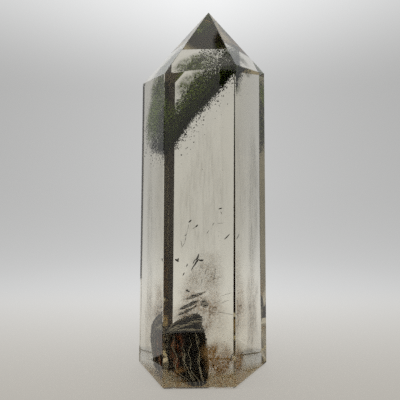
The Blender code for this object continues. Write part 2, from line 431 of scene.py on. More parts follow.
columnLook = {
    "rings": (  # height, middle x, middle y, half width, half depth
        (0.0, -1.7, -8.6, 3.0, 6.8),
        (1.1, -1.85, -7.6, 3.15, 6.3),
        (1.9, -3.4, -6.2, 4.7, 5.6),
        (3.0, -4.4, -4.9, 5.7, 5.1),
        (5.5, -4.8, -3.9, 5.9, 5.0),
        (8.0, -5.2, -2.9, 6.1, 4.8),
        (11.0, -5.4, -2.7, 5.9, 4.8),
        (14.0, -5.6, -3.0, 5.3, 4.6),
        (16.0, -4.6, -3.2, 4.1, 3.9),
        (17.5, -3.2, -3.4, 2.7, 2.7),
        (18.6, -2.2, -3.5, 1.3, 1.3),
    ),
    "top": 18.6,
    "ridges": ((5.0, 0.2, 0.05), (9.0, -0.3, 0.035), (23.0, 0.5, 0.025), (41.0, -1.1, 0.02)),
    "rust": (-8.7, 2.4, 8.0, 5.0),  # middle x and half width, middle height and half height
    "streak": (0.5, 0.5, 1.613),  # size of the streaks in its packed fibres
    "blackStops": ((0.48, "#080604"), (0.60, "#2a2317"), (0.73, "#857b5e")),
    "rustStops": ((0.34, "#5c280a"), (0.52, "#a85218"), (0.68, "#c98238")),
    # painted sheen: the lighter grey of the parting film on the column's left
    "partingSheenColor": "#8d8069",
}

fibreLook = {
    "uprightCount": 420,
    "archCount": 90,
    "archEnds": ((-0.8, -6.4, 16.2), (-5.6, -10.2, 17.2), (-10.3, -6.8, 14.0)),  # start, crown and tip
    "archLightShare": 0.15,
    "radius": (0.05, 0.15),
    "lightShare": 0.36,  # how many of the fibres shine; the rest are near black
    "stops": ((0.0, "#0f0b06"), (0.4, "#2e2718"), (1.0, "#ece5cc")),
    "seed": 23,
}


def columnRadius(height, turn):
    # Middle and half axes read off the rings at that height, swollen by ridges that run up the column:
    # each ridge row is how many there are round it, how they wind and how high they stand
    rings = np.array(columnLook["rings"])
    x, y, halfWidth, halfDepth = (np.interp(height, rings[:, 0], rings[:, k]) for k in range(1, 5))
    ridge = 1.0 + sum(high * np.sin(many * turn + wind * height)
                      for many, wind, high in columnLook["ridges"])
    return x, y, halfWidth * ridge, halfDepth * ridge


def rustShare(x, height):
    # How rusty a place on the column's left front is: a bell of fourth powers in x and height
    middle, halfWidth, middleHeight, halfHeight = columnLook["rust"]
    return np.exp(-((x - middle) / halfWidth) ** 4 - ((height - middleHeight) / halfHeight) ** 4)


def gridFaces(rows, columns, closed=False):
    # Quads between neighbouring rows and columns of a grid; a closed grid joins its last column to its first
    row = np.arange(rows - 1)[:, None] * columns
    column = np.arange(columns if closed else columns - 1)[None, :]
    follower = (column + 1) % columns
    return np.stack((row + column, row + follower, row + columns + follower, row + columns + column),
                    axis=-1).reshape(-1, 4)


def columnPiece(material):
    # The column's skin: for each turn and height, middle plus half axes times cosine and sine of the turn,
    # roughened by patchy waves; its top and foot are closed by one facet each. The stain attribute is the
    # rust, on the front alone, and the film attribute, a painted sheen, grows where the skin turns to the
    # left
    rows, columns = 70, 96
    turn, rise = np.meshgrid(np.linspace(0.0, math.tau, columns, endpoint=False),
                             np.linspace(0.0, 1.0, rows))
    height = columnLook["top"] * rise
    x, y, halfWidth, halfDepth = columnRadius(height, turn)
    rough = 1.0 - 0.10 * waves(turn * 1.5, rise * 5.0, 31, 12, 3.0, 14.0)
    rough -= 0.05 * waves(turn * 4.0, rise * 14.0, 37, 14, 3.0, 12.0)
    points = np.stack((x + halfWidth * rough * np.cos(turn), y + halfDepth * rough * np.sin(turn),
                       height), -1)
    faces = gridFaces(rows, columns, closed=True).tolist()
    faces.append(list(range(columns))[::-1])
    faces.append(list(range((rows - 1) * columns, rows * columns)))
    piece = makePiece("fibrous_inclusion_core", points.reshape(-1, 3), faces, material)
    stain = np.minimum(1.6 * rustShare(points[..., 0], height), 1.0) * (points[..., 1] < 0.0)
    # painted sheen: the film attribute lightens the left side of the skin
    film = smoothStep(-0.2, 0.7, -np.cos(turn) - 0.8 * np.abs(np.sin(turn) + 0.1))
    addAttribute(piece, "stain", stain.ravel())
    addAttribute(piece, "film", film.ravel())
    return piece


def tubePiece(name, paths, radii, sides, material, tones):
    # Many tubes at once: at each path point a ring of radius times cosine and sine on two axes square to
    # the path, with a facet over each end
    count, steps, _ = paths.shape
    tangent = unit(np.gradient(paths, axis=1))
    side = unit(np.cross(tangent, np.array((0.31, 0.93, 0.17))))
    up = np.cross(tangent, side)
    turn = np.linspace(0.0, math.tau, sides, endpoint=False)
    ring = side[:, :, None, :] * np.cos(turn)[:, None] + up[:, :, None, :] * np.sin(turn)[:, None]
    points = paths[:, :, None, :] + ring * radii[:, :, None, None]
    faces = gridFaces(steps, sides, closed=True)[None] + (np.arange(count) * steps * sides)[:, None, None]
    foot = np.arange(sides)[::-1][None] + (np.arange(count) * steps * sides)[:, None]
    head = np.arange(sides)[None] + (np.arange(count) * steps * sides)[:, None] + (steps - 1) * sides
    rows = faces.reshape(-1, 4).tolist() + foot.tolist() + head.tolist()
    piece = makePiece(name, points.reshape(-1, 3), rows, material)
    addAttribute(piece, "tone", np.repeat(tones, steps * sides))
    return piece


def bundleTones(rng, place, lightShare, seed):
    # Neighbouring fibres shine together: waves over their place in the bundle, of which the highest share
    # is light
    wave = waves(place, 0.0 * place, seed, 9, 6.0, 60.0) + rng.normal(0.0, 0.12, place.shape)
    shining = wave > np.quantile(wave, 1.0 - lightShare)
    return np.where(shining, rng.uniform(0.75, 1.0, place.shape), rng.uniform(0.0, 0.25, place.shape))


def uprightFibres():
    # Paths that climb the column's skin: a start turn and height, swaying with their neighbours by two sines
    # of the height, lying just proud of the skin, thinner at both ends
    look = fibreLook
    rng = np.random.default_rng(look["seed"])
    count, steps = look["uprightCount"], 9
    t = np.linspace(0.0, 1.0, steps)[None, :]
    place = rng.uniform(0.0, math.tau, (count, 1))
    start = rng.uniform(0.0, 12.0, (count, 1)) * (rng.uniform(size=(count, 1)) < 0.6)
    height = np.minimum(start + rng.uniform(4.0, 10.0, (count, 1)) * t, columnLook["top"] - 0.6) + 0.05
    sway = 0.06 * np.sin(height * 1.3 + place * 9.0) + 0.05 * np.sin(height * 0.6 + place * 4.0)
    turn = place + sway + rng.normal(0.0, 0.04, (count, 1)) * t
    x, y, halfWidth, halfDepth = columnRadius(height, turn)
    proud = rng.uniform(0.93, 1.03, (count, 1))
    paths = np.stack((x + halfWidth * proud * np.cos(turn), y + halfDepth * proud * np.sin(turn),
                      height), -1)
    radius = rng.uniform(*look["radius"], (count, 1)) * (0.25 + 0.75 * np.sin(np.pi * (0.08 + 0.84 * t)))
    return paths, radius, bundleTones(rng, place[:, 0], look["lightShare"], 91)


def archFibres():
    # A sheaf over the top: quadratic curves from the upper right of the column, over a crown point,
    # down to its left tip; each strand keeps its place across the sheaf from end to end
    look = fibreLook
    rng = np.random.default_rng(look["seed"] + 3)
    count, steps = look["archCount"], 14
    t = np.linspace(0.0, 1.0, steps)[None, :, None]
    place = rng.uniform(-1.0, 1.0, (count, 1, 1))
    start, crown, tip = (np.array(end) for end in look["archEnds"])
    start = start + place * (0.6, 0.5, 2.2) + rng.normal(0.0, 0.3, (count, 1, 3))
    crown = crown + place * (0.8, 0.6, 1.9) + rng.normal(0.0, 0.3, (count, 1, 3))
    tip = tip + place * (0.5, 0.4, 0.7) + rng.normal(0.0, 0.2, (count, 1, 3))
    wander = rng.normal(0.0, 0.18, (count, 1, 3)) * np.sin(np.pi * t * rng.uniform(1.5, 3.5, (count, 1, 1)))
    paths = (1.0 - t) ** 2 * start + 2.0 * t * (1.0 - t) * crown + t ** 2 * tip + wander
    swell = 0.3 + 0.7 * np.sin(np.pi * (0.06 + 0.88 * t[..., 0]))
    radius = rng.uniform(*look["radius"], (count, 1)) * swell
    tones = bundleTones(rng, place[:, 0, 0], look["archLightShare"], 95)
    return paths, radius * np.where(tones > 0.5, 1.7, 1.0)[:, None], tones


def coreMaterial():
    # The same fibres imported solid: black with grey streaks 0.5 mm across, a rusty stain on the left
    # front and, on its left where the column parted from the quartz, a smooth grey film whose lighter grey
    # is a painted sheen
    material, add = newMaterial("iron_stained_core")
    where = add("TexCoord")
    stain = add("Attribute", {"attribute_name": "stain"})
    film = add("Attribute", {"attribute_name": "film"})
    stretch = add("Mapping", {"Scale": [1.0 / (size * mm) for size in columnLook["streak"]]},
                  {"Vector": (where, "Object")})
    fleck = add("TexNoise", {"Scale": 1.0, "Detail": 4.0, "Roughness": 0.7}, {"Vector": (stretch, 0)})
    black = add("ValToRGB", links={"Fac": (fleck, "Fac")})
    setRamp(black, columnLook["blackStops"])
    rust = add("ValToRGB", links={"Fac": (fleck, "Fac")})
    setRamp(rust, columnLook["rustStops"])
    stained = add("Mix", {"data_type": "RGBA"}, {0: (stain, "Fac"), 6: (black, 0), 7: (rust, 0)})
    sheenPaintedColor = add("Mix", {"data_type": "RGBA", 7: linearColor(columnLook["partingSheenColor"])},
                 {0: (film, "Fac"), 6: (stained, 2)})
    bump = add("Bump", {"Strength": 0.8, "Distance": 0.15 * mm}, {"Height": (fleck, "Fac")})
    shader = add("BsdfPrincipled", {"Roughness": 0.5, "IOR": 1.62},
                 {"Base Color": (sheenPaintedColor, 2), "Normal": (bump, 0)})
    add("OutputMaterial", links={"Surface": (shader, 0)})
    return material


core = columnPiece(coreMaterial())
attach(core, body)
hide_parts("dark_inclusion")
# iron-stained amphibole or goethite: near black and matt, a third of the fibres greyer and silky
silky = tonedMaterial("silky_dark_fibres", fibreLook["stops"], 0.38, 1.62)
for name, (paths, radii, tones) in (("upright_fibres", uprightFibres()), ("arched_fibres", archFibres())):
    fibres = tubePiece(name, paths, radii, 5, silky, tones)
    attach(fibres, body)

granuleLook = {
    "count": 3600,
    "size": (0.08, 0.26),
    "skirtCount": 420,  # crumbs that hang under the column's left edge, some of them rusty
    "skirtSize": (0.08, 0.24),
    "stops": ((0.0, "#0f0e0b"), (0.45, "#34322a"), (0.9, "#8f8d80"), (0.96, "#5b2c14")),
    "seed": 32,
}


def columnGranules():
    # Granules sunk in the column's skin: random turn and height on it, at 0.93 to 1.05 of its half axes.
    # Their tone is dark at random, and rusty ones, tone 1, gather on the left front. Then the skirt: a flat
    # wedge of crumbs that falls from the column's left edge to its narrow foot
    look = granuleLook
    rng = np.random.default_rng(look["seed"])
    count, skirtCount = look["count"], look["skirtCount"]
    height = rng.uniform(0.1, columnLook["top"] - 0.5, count)
    turn = rng.uniform(0.0, math.tau, count)
    x, y, halfWidth, halfDepth = columnRadius(height, turn)
    proud = rng.uniform(0.93, 1.05, count)
    centres = np.stack((x + halfWidth * proud * np.cos(turn), y + halfDepth * proud * np.sin(turn),
                        height), -1)
    sizes = rng.uniform(*look["size"], count)
    rusty = rustShare(centres[:, 0], height)
    keep = rng.uniform(size=count) > 0.95 * rusty
    pale = rng.uniform(size=count) < 0.07
    tones = np.where(pale, rng.uniform(0.5, 0.85, count), rng.uniform(0.0, 0.3, count))
    tones = np.where(rng.uniform(size=count) < rusty, 1.0, tones)
    along = rng.uniform(size=skirtCount)
    skirt = np.stack((-10.6 + 5.8 * along, rng.uniform(-7.5, -3.0, skirtCount) - 2.0 * along,
                      2.8 - 1.5 * along + rng.normal(0.0, 0.35, skirtCount)), -1)
    centres = np.concatenate((centres[keep], skirt))
    sizes = np.concatenate((sizes[keep], rng.uniform(*look["skirtSize"], skirtCount)))
    centres[:, 2] = np.maximum(centres[:, 2], 1.1 * sizes)  # none comes out of the base
    rustySkirt = rng.uniform(size=skirtCount) < 0.45
    skirtTones = np.where(rustySkirt, 1.0, rng.uniform(0.0, 0.3, skirtCount))
    return centres, sizes, np.concatenate((tones[keep], skirtTones))


# iron oxide and clay between the fibres: black to grey specks, rust brown where the iron gathered
ironOxide = tonedMaterial("iron_oxide_granules", granuleLook["stops"], 0.6, 1.6)
granules = grainPiece("inclusion_granules", *columnGranules(), ironOxide, 41)
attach(granules, body)
print("scene stage: fibrous inclusion")


# Needles, hairline cracks and pinpoints, each where the photograph shows it behind its face

needleLook = {
    "needles": (  # from (x, z) to (x, z), y, radius
        ((-4.2, 46.9), (-3.3, 47.7), -8.3, 0.16), ((-2.2, 45.4), (-1.4, 46.2), -7.3, 0.17),
        ((4.6, 50.9), (5.7, 51.2), -9.0, 0.13), ((5.2, 50.2), (5.6, 49.4), -9.1, 0.06),
        ((-4.3, 46.5), (-4.5, 44.7), -8.3, 0.045), ((-4.5, 44.7), (-5.0, 42.8), -8.4, 0.045),
        ((-5.4, 43.1), (-4.8, 43.2), -8.4, 0.09), ((-5.0, 42.8), (-5.4, 40.9), -8.4, 0.045),
        ((-5.4, 40.9), (-6.3, 39.5), -8.4, 0.045), ((6.3, 42.0), (7.9, 43.6), -9.2, 0.12),
        ((4.3, 46.8), (6.1, 46.9), -9.1, 0.04), ((2.9, 46.1), (3.4, 47.0), -9.2, 0.06),
        ((1.2, 43.7), (1.8, 44.7), -9.2, 0.06), ((-3.1, 44.9), (-2.4, 45.4), -7.3, 0.05),
        ((-1.2, 37.6), (-2.3, 35.6), -7.4, 0.20), ((-2.2, 35.9), (-3.0, 34.4), -7.5, 0.10),
        ((-2.6, 33.7), (-1.1, 35.9), -6.0, 0.20), ((-1.2, 35.5), (0.2, 35.6), -5.9, 0.22),
        ((-3.5, 32.3), (-2.2, 34.3), -6.0, 0.12), ((-4.5, 34.6), (-4.9, 33.7), -7.5, 0.12),
        ((-5.5, 32.0), (-6.0, 31.0), -7.6, 0.12), ((-6.2, 39.8), (-6.5, 41.6), -8.4, 0.05),
        ((-8.2, 36.2), (-7.1, 35.5), -9.6, 0.24), ((-7.1, 36.5), (-7.5, 35.4), -9.6, 0.20),
        ((0.8, 31.4), (1.1, 33.0), -8.5, 0.05), ((3.1, 29.6), (3.8, 32.7), -8.5, 0.045),
        ((4.0, 33.3), (3.2, 32.6), -8.4, 0.05), ((-0.6, 28.3), (-0.1, 30.0), -7.6, 0.05),
        ((2.0, 20.9), (4.1, 20.9), -11.7, 0.04), ((4.1, 20.9), (6.8, 20.5), -11.7, 0.045),
        ((6.8, 20.5), (9.3, 20.0), -11.6, 0.05), ((5.9, 5.9), (8.8, 5.6), -7.9, 0.05),
        ((2.8, 6.1), (3.0, 3.6), -9.0, 0.05), ((8.2, 5.8), (8.5, 7.6), -8.9, 0.09),
        ((8.5, 7.6), (9.1, 8.0), -8.8, 0.08), ((7.8, 24.0), (5.1, 22.9), -9.6, 0.04),
        ((3.1, 23.1), (5.1, 23.7), -9.6, 0.04), ((5.4, 25.3), (8.6, 26.3), -9.5, 0.03),
    ),
    "pinpoints": (  # x, y, z, half width
        (-3.6, -8.8, 68.4, 0.19), (-0.7, -10.6, 78.1, 0.17), (-0.2, -6.9, 62.6, 0.13),
        (5.9, -8.8, 62.4, 0.17), (0.0, -6.9, 60.9, 0.10), (-0.5, -7.0, 57.4, 0.10),
        (9.2, -4.2, 51.2, 0.15), (17.6, -1.0, 55.5, 0.22), (11.1, -4.9, 36.5, 0.11),
        (5.8, -12.5, 1.6, 0.20), (4.0, -12.5, 1.6, 0.17), (3.1, -12.5, 2.2, 0.17), (2.3, -12.0, 2.9, 0.12),
        (-4.1, -8.1, 55.0, 0.11), (-5.8, -8.1, 59.8, 0.09), (4.9, -8.9, 56.2, 0.08),
        (7.8, -6.4, 49.0, 0.08), (5.8, -8.9, 58.6, 0.10), (4.7, -9.2, 44.3, 0.09), (4.6, -9.2, 43.0, 0.10),
        (3.0, -9.1, 49.5, 0.08), (6.2, -9.2, 40.5, 0.08), (0.9, -7.0, 54.7, 0.08), (-2.9, -8.2, 50.0, 0.07),
    ),
    "dustCount": 1500,  # and fine dark dust all through the crystal
    "dustSize": (0.02, 0.07),
    "seed": 53,
}


def needlePaths():
    # Each needle is a slightly bowed line, its radius swelling from both tips by a sine
    rows = needleLook["needles"]
    start = np.array([(a[0], y, a[1]) for a, _, y, _ in rows])[:, None]
    end = np.array([(b[0], y, b[1]) for _, b, y, _ in rows])[:, None]
    t = np.linspace(0.0, 1.0, 9)[None, :, None]
    rng = np.random.default_rng(needleLook["seed"])
    bow = rng.normal(0.0, 0.05, (len(rows), 1, 3)) * np.linalg.norm(end - start, axis=-1, keepdims=True)
    paths = start * (1.0 - t) + end * t + bow * np.sin(np.pi * t)
    radii = np.array([row[3] for row in rows])[:, None] * (0.35 + 0.95 * np.sin(np.pi * t[..., 0]) ** 0.7)
    return paths, radii, rng.uniform(0.0, 0.35, len(rows))


def looseSpecks():
    # The pinpoints, then fine dust thrown over the crystal's box, kept inside it, denser low down
    look = needleLook
    rng = np.random.default_rng(look["seed"] + 1)
    pinpoints = np.array(look["pinpoints"])
    tries = look["dustCount"] * 4
    dust = np.stack((rng.uniform(-20.0, 20.0, tries), rng.uniform(-17.0, 17.0, tries),
                     112.0 * rng.uniform(size=tries) ** 1.7), -1)
    dust = dust[insideTower(dust, 0.6)][:look["dustCount"]]
    dustSizes = look["dustSize"][0] + np.ptp(look["dustSize"]) * rng.uniform(size=len(dust)) ** 3.0
    tones = np.concatenate((np.full(len(pinpoints), 0.05), rng.uniform(0.0, 0.9, len(dust))))
    return np.concatenate((pinpoints[:, :3], dust)), np.concatenate((pinpoints[:, 3], dustSizes)), tones


paths, radii, tones = needlePaths()
needles = tubePiece("needles_and_hairlines", paths, radii, 6, silky, tones)
specks = grainPiece("pinpoint_specks", *looseSpecks(), ironOxide, 61)
for piece in (needles, specks):
    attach(piece, body)
print("scene stage: needles and pinpoints")


# Healed fractures: veils of milk and limonite, and silvery feathers where air is left in a crack

veilLook = {
    # middle, half span across, half span up, bulge,
    # seen share, light and dark colour, cloud size, how far the clouds are drawn out upward
    "milky_veil": ((0.5, -3.0, 31.0), (10.5, 2.5, 1.5), (0.5, 2.0, 8.5), 1.2,
                   0.45, "#f2e0c0", "#96744a", 4.0, 1.0),
    "tan_veil": ((-0.5, 3.0, 18.0), (12.5, 1.5, -1.0), (0.0, -1.0, 15.0), 1.6,
                 0.62, "#f0cf9e", "#cfa268", 8.0, 1.2),
    "limonite_veil": ((4.4, -8.5, 7.0), (7.0, 1.0, 0.4), (0.2, -3.2, 9.6), 1.0,
                      0.80, "#f0cb90", "#b98548", 6.0, 1.0),
    "limonite_veil_left": ((-6.6, -9.5, 2.8), (3.4, 0.6, 0.3), (0.0, -4.0, 3.2), 0.6,
                           0.7, "#ecc690", "#b98a50", 1.5, 1.0),
    "right_veil": ((12.5, -3.5, 18.0), (3.4, 4.6, 0.0), (0.6, 0.5, 20.0), 0.8,
                   0.42, "#ccab76", "#775a32", 3.0, 3.0),
    "right_streaks": ((13.2, -2.5, 52.0), (3.2, 4.4, 0.0), (0.5, 0.4, 38.0), 0.6,
                      0.30, "#a9a482", "#5f5a42", 1.6, 9.0),
    "left_streaks": ((-13.0, -2.5, 44.0), (2.4, -4.2, 0.0), (0.4, 0.3, 34.0), 0.6,
                     0.20, "#b3ae8e", "#6b674a", 1.6, 9.0),
    "left_veil": ((-13.5, -2.5, 16.0), (2.6, -4.4, 0.0), (0.4, 0.3, 18.0), 0.8,
                  0.30, "#cdb283", "#7f6540", 3.0, 3.0),
    "growth_streaks": ((0.0, 4.0, 55.0), (13.0, 1.0, 0.0), (0.3, -0.5, 34.0), 0.8,
                       0.16, "#c4b898", "#6b6044", 1.2, 9.0),
    "garden_haze": ((-4.5, 3.0, 85.0), (11.0, -3.5, 10.1), (2.5, 11.0, 8.7), 0.3,
                    0.7, "#8ea62c", "#4f6a18", 4.0, 1.0),
    "garden_haze_top": ((-3.0, 8.0, 90.0), (8.5, 0.5, 2.5), (0.0, -0.8, 6.2), 0.4,
                        0.9, "#92a834", "#5c7422", 2.0, 1.0),
    "garden_haze_right": ((9.3, -0.5, 93.6), (3.6, 1.2, -1.2), (0.0, 0.2, 3.0), 0.2,
                          0.80, "#8d9068", "#4c5236", 2.0, 1.0),
    "garden_haze_dark": ((-9.0, -6.5, 76.0), (5.0, -4.5, 3.0), (3.0, 4.5, 5.7), 0.3,
                         0.80, "#4d5a26", "#1c240e", 2.5, 1.0),
    "garden_haze_low": ((-12.5, -5.0, 78.0), (5.0, -6.5, 3.5), (0.8, 3.0, 10.5), 0.5,
                        0.75, "#8ca63c", "#506c22", 3.0, 2.5),
}


def sheetPiece(name, middle, across, up, bulge, seed, material, ripple=0.12, solid=0.35):
    # A curved sheet on a grid of two parameters from -1 to 1: the middle plus its two half spans, pushed
    # along their cross direction by a dome and fine ripples; the fade attribute falls to 0 at its rim, and
    # only the facets that lie in the crystal are kept
    rows, columns = 48, 60
    v, u = np.meshgrid(np.linspace(-1.0, 1.0, rows), np.linspace(-1.0, 1.0, columns), indexing="ij")
    across, up = np.array(across), np.array(up)
    outward = unit(np.cross(across, up))
    ragged = 0.82 + 0.30 * (waves(np.arctan2(v, u), 0.0 * u, seed, 6, 1.0, 7.0) - 0.5)
    push = bulge * (1.0 - u ** 2 - v ** 2) + ripple * 2.0 * (waves(u, v, seed + 1, 9, 4.0, 22.0) - 0.5)
    points = np.array(middle) + u[..., None] * across + v[..., None] * up + push[..., None] * outward
    faces = gridFaces(rows, columns)
    faces = faces[insideTower(points.reshape(-1, 3), 0.3)[faces].all(axis=1)]
    used, faces = np.unique(faces, return_inverse=True)
    piece = makePiece(name, points.reshape(-1, 3)[used], faces.reshape(-1, 4), material)
    addAttribute(piece, "fade", (1.0 - smoothStep(solid * ragged, ragged, np.hypot(u, v))).ravel()[used])
    return piece


def veilMaterial(name, share, light, dark, size, drawnOut):
    # A healed fracture: a film of tiny liquid and clay specks, seen as a patchy half-clear cloud
    material, add = newMaterial(name)
    where = add("TexCoord")
    fade = add("Attribute", {"attribute_name": "fade"})
    # clouds a few mm across, broken into specks of 0.6 mm
    stretch = add("Mapping", {"Scale": (1.0, 1.0, 1.0 / drawnOut)}, {"Vector": (where, "Object")})
    cloud = add("TexNoise",
                {"Scale": 1.0 / (size * mm), "Detail": 3.0, "Distortion": 0.6}, {"Vector": (stretch, 0)})
    speck = add("TexNoise",
                {"Scale": 1.0 / (0.6 * mm), "Detail": 4.0, "Roughness": 0.7}, {"Vector": (stretch, 0)})
    cloudMask = add("MapRange", {"From Min": 0.35, "From Max": 0.65, "To Min": 0.35},
                    {"Value": (cloud, "Fac")})
    speckMask = add("MapRange", {"From Min": 0.38, "From Max": 0.66, "To Min": 0.4},
                    {"Value": (speck, "Fac")})
    both = add("Math", {"operation": "MULTIPLY"}, {0: (cloudMask, 0), 1: (speckMask, 0)})
    faded = add("Math", {"operation": "MULTIPLY"}, {0: (both, 0), 1: (fade, "Fac")})
    seen = add("Math", {"operation": "MULTIPLY", 1: share * 2.0, "use_clamp": True}, {0: (faded, 0)})
    color = add("Mix", {"data_type": "RGBA", 6: linearColor(light), 7: linearColor(dark)},
                {0: (speck, "Fac")})
    film = add("BsdfPrincipled", {"Roughness": 0.9, "Specular IOR Level": 0.1},
               {"Base Color": (color, 2), "Alpha": (seen, 0)})
    add("OutputMaterial", links={"Surface": (film, 0)})
    return material


for seed, (name, (middle, across, up, bulge, *look)) in enumerate(veilLook.items()):
    veil = sheetPiece(name, middle, across, up, bulge, 3 + seed, veilMaterial(name, *look))
    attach(veil, body)

featherLook = {
    "sheets": {  # middle, half span across, half span up, bulge, seed
        "feather_top": ((-4.0, -6.2, 22.4), (3.9, 0.5, 1.5), (0.5, -1.8, 1.5), 0.5, 12),
        "feather_lens": ((-4.7, -6.6, 20.6), (3.5, 0.5, 1.6), (0.4, -1.2, 1.1), 0.45, 15),
        "feather_low": ((-3.0, -6.2, 19.0), (2.4, 0.5, 1.4), (0.3, -1.0, 0.8), 0.35, 18),
        "feather_high": ((-2.6, -6.2, 25.0), (4.2, 0.5, 1.3), (0.4, -1.3, 1.2), 0.5, 27),
        "feather_flake": ((-4.5, -7.6, 26.6), (0.9, 0.1, -0.5), (0.2, -0.3, 0.45), 0.1, 21),
        "feather_right": ((0.6, -5.6, 22.3), (1.6, 0.4, -0.8), (0.4, -0.9, 1.8), 0.3, 24),
    },
    "tilt": 24.0,  # how the ribs slope
    "rib": (3.333, 2.5, 0.6667),  # size of a rib along, across and upward
    # painted reflection: the ribs' colours, from black for mirrored dark to white for mirrored light
    "stops": ((0.45, "#080603"), (0.51, "#1f1b12"), (0.535, "#e4dfcf"), (0.58, "#ffffff")),
}


def featherMaterial():
    # Air left in a crack: ribs about 0.7 mm apart, their colour a painted reflection, white like mirrored
    # light and black like mirrored dark, on a half-metallic film that also mirrors a little, with clear
    # quartz between them
    look = featherLook
    material, add = newMaterial("air_film_in_crack")
    where = add("TexCoord")
    fade = add("Attribute", {"attribute_name": "fade"})
    turned = add("Mapping", {"Rotation": (0.0, math.radians(look["tilt"]), 0.0),
                             "Scale": [1.0 / (size * mm) for size in look["rib"]]},
                 {"Vector": (where, "Object")})
    ribs = add("TexNoise", {"Scale": 1.0, "Detail": 2.0, "Distortion": 1.6}, {"Vector": (turned, 0)})
    # painted reflection: black where the ribs mirror the dark, white where they mirror the light
    color = add("ValToRGB", links={"Fac": (ribs, "Fac")})
    setRamp(color, look["stops"])
    # both ends of the noise are seen, its middle is clear
    away = add("Math", {"operation": "SUBTRACT", 1: 0.5}, {0: (ribs, "Fac")})
    size = add("Math", {"operation": "ABSOLUTE"}, {0: (away, 0)})
    mask = add("MapRange", {"From Min": 0.005, "From Max": 0.02}, {"Value": (size, 0)})
    seen = add("Math", {"operation": "MULTIPLY"}, {0: (mask, 0), 1: (fade, "Fac")})
    crease = add("Bump", {"Strength": 0.7, "Distance": 0.3 * mm}, {"Height": (ribs, "Fac")})
    film = add("BsdfPrincipled", {"Roughness": 0.22, "Metallic": 0.55},
               {"Base Color": (color, 0), "Alpha": (seen, 0), "Normal": (crease, 0)})
    add("OutputMaterial", links={"Surface": (film, 0)})
    return material


airFilm = featherMaterial()
for name, (middle, across, up, bulge, seed) in featherLook["sheets"].items():
    feather = sheetPiece(name, middle, across, up, bulge, seed, airFilm, ripple=0.10, solid=0.7)
    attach(feather, body)
print("scene stage: veils and feathers")


# A cloud of limonite crumbs over the ground base, thickest at its right front

crumbLook = {
    "count": 3600,
    "size": (0.03, 0.12),
    "darkShare": 0.16,
    "stops": ((0.0, "#2a1a0e"), (0.35, "#8a5c2e"), (0.7, "#d0a268"), (1.0, "#f3e2c0")),
    "seed": 71,
}


def baseCrumbs():
    # Crumbs thrown over the base and kept inside: height falls off in 4 mm, thinner towards the left
    look = crumbLook
    rng = np.random.default_rng(look["seed"])
    tries = look["count"] * 4
    points = np.stack((rng.uniform(-12.0, 12.0, tries), rng.uniform(-16.0, 12.0, tries),
                       0.3 + rng.exponential(4.2, tries)), -1)
    patch = waves(points[:, 0] * 0.12, points[:, 2] * 0.2, look["seed"] + 1)
    chance = (0.35 + 0.65 * smoothStep(-3.0, 6.0, points[:, 0])) * (0.25 + 0.75 * patch)
    keep = insideTower(points, 0.5) & (rng.uniform(size=tries) < chance)
    points = points[keep][:look["count"]]
    sizes = look["size"][0] + np.ptp(look["size"]) * rng.uniform(size=len(points)) ** 2.5
    dark = rng.uniform(size=len(points)) < look["darkShare"]
    tones = np.where(dark, rng.uniform(0.0, 0.3, len(points)), rng.uniform(0.5, 1.0, len(points)))
    return points, sizes, tones


# limonite and clay: earthy crumbs from dark brown to cream
limonite = tonedMaterial("limonite_crumbs", crumbLook["stops"], 0.85, 1.5)
crumbs = grainPiece("limonite_crumbs", *baseCrumbs(), limonite, 73)
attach(crumbs, body)
print("scene stage: limonite crumbs")


# The studio: a round pale floor that curves up into a light tent, black cards beside it, a soft light above

studio = {
    "floorGap": 0.03,  # air under the ground base
    "floorReach": 190.0,
    "wallReach": 340.0,
    "bendHeight": 150.0,  # the floor bends up to here
    "wallHeight": 420.0,
    "domeHeight": 120.0,
    "floorBack": 0.56,  # how brightly each part glows
    "floorFront": 0.29,
    "floorFar": 0.42,
    "wallGlow": 0.435,
    "topGlow": 0.80,
    "sideGlow": 0.68,  # the light falls off to this share at both sides
    "coolLight": "#fbfdff",
    "warmLight": "#fffaf0",
    "paperColor": "#7d7c7a",
    # painted shade: the colour of the floor under the tower
    "shadeColor": "#0c0a09",  # under the tower
    "cardPapers": {"black_card": "#140d0b", "grey_card": "#7d796c"},
    "cards": (  # bearing from and to, where it starts on the floor, how far out it turns up, its height
        ("black_card_right", -57.0, -18.0, 26.0, 150.0, 130.0),
        ("black_card_front", -84.0, -70.0, 26.0, 150.0, 130.0),
        ("black_card_near_front", -110.0, -84.0, 22.5, 70.0, 0.7),
        ("black_card_right_back", 39.5, 46.3, 40.0, 190.0, 150.0),
        ("black_card_left", -177.0, -144.5, 24.0, 150.0, 125.0),
        ("black_card_near_right", -30.0, 2.0, 19.0, 60.0, 0.7),
        ("grey_card_left", -139.0, -128.0, 26.0, 150.0, 110.0),
    ),
    "cardLift": 0.6,  # the cards lie this far over the floor
    "lampPlace": (-40.0, -30.0, 400.0),
    "lampWidth": 300.0,
    "lampWatts": 0.35,
}


def bowlPiece(material):
    # A profile turned round the upright axis: flat floor, quarter ellipse up to the wall, wall, and a
    # shallow dome on top
    flat = np.stack((np.linspace(0.0, studio["floorReach"], 24), np.zeros(24)), -1)
    turn = np.linspace(0.0, math.pi / 2.0, 24)[1:]
    bend = np.stack((studio["floorReach"] + (studio["wallReach"] - studio["floorReach"]) * np.sin(turn),
                     studio["bendHeight"] * (1.0 - np.cos(turn))), -1)
    wall = np.array(((studio["wallReach"], studio["wallHeight"]),))
    turn = np.linspace(0.0, math.pi / 2.0, 16)[1:]
    dome = np.stack((studio["wallReach"] * np.cos(turn),
                     studio["wallHeight"] + studio["domeHeight"] * np.sin(turn)), -1)
    profile = np.concatenate((flat, bend, wall, dome))
    around = np.linspace(0.0, math.tau, 128, endpoint=False)
    reach, height = profile[:, :1], profile[:, 1:]
    points = np.stack((reach * np.cos(around), reach * np.sin(around),
                       height - studio["floorGap"] + 0.0 * around), -1)
    faces = gridFaces(len(profile), len(around), closed=True)
    return makePiece("studio_bowl", points.reshape(-1, 3), faces, material)


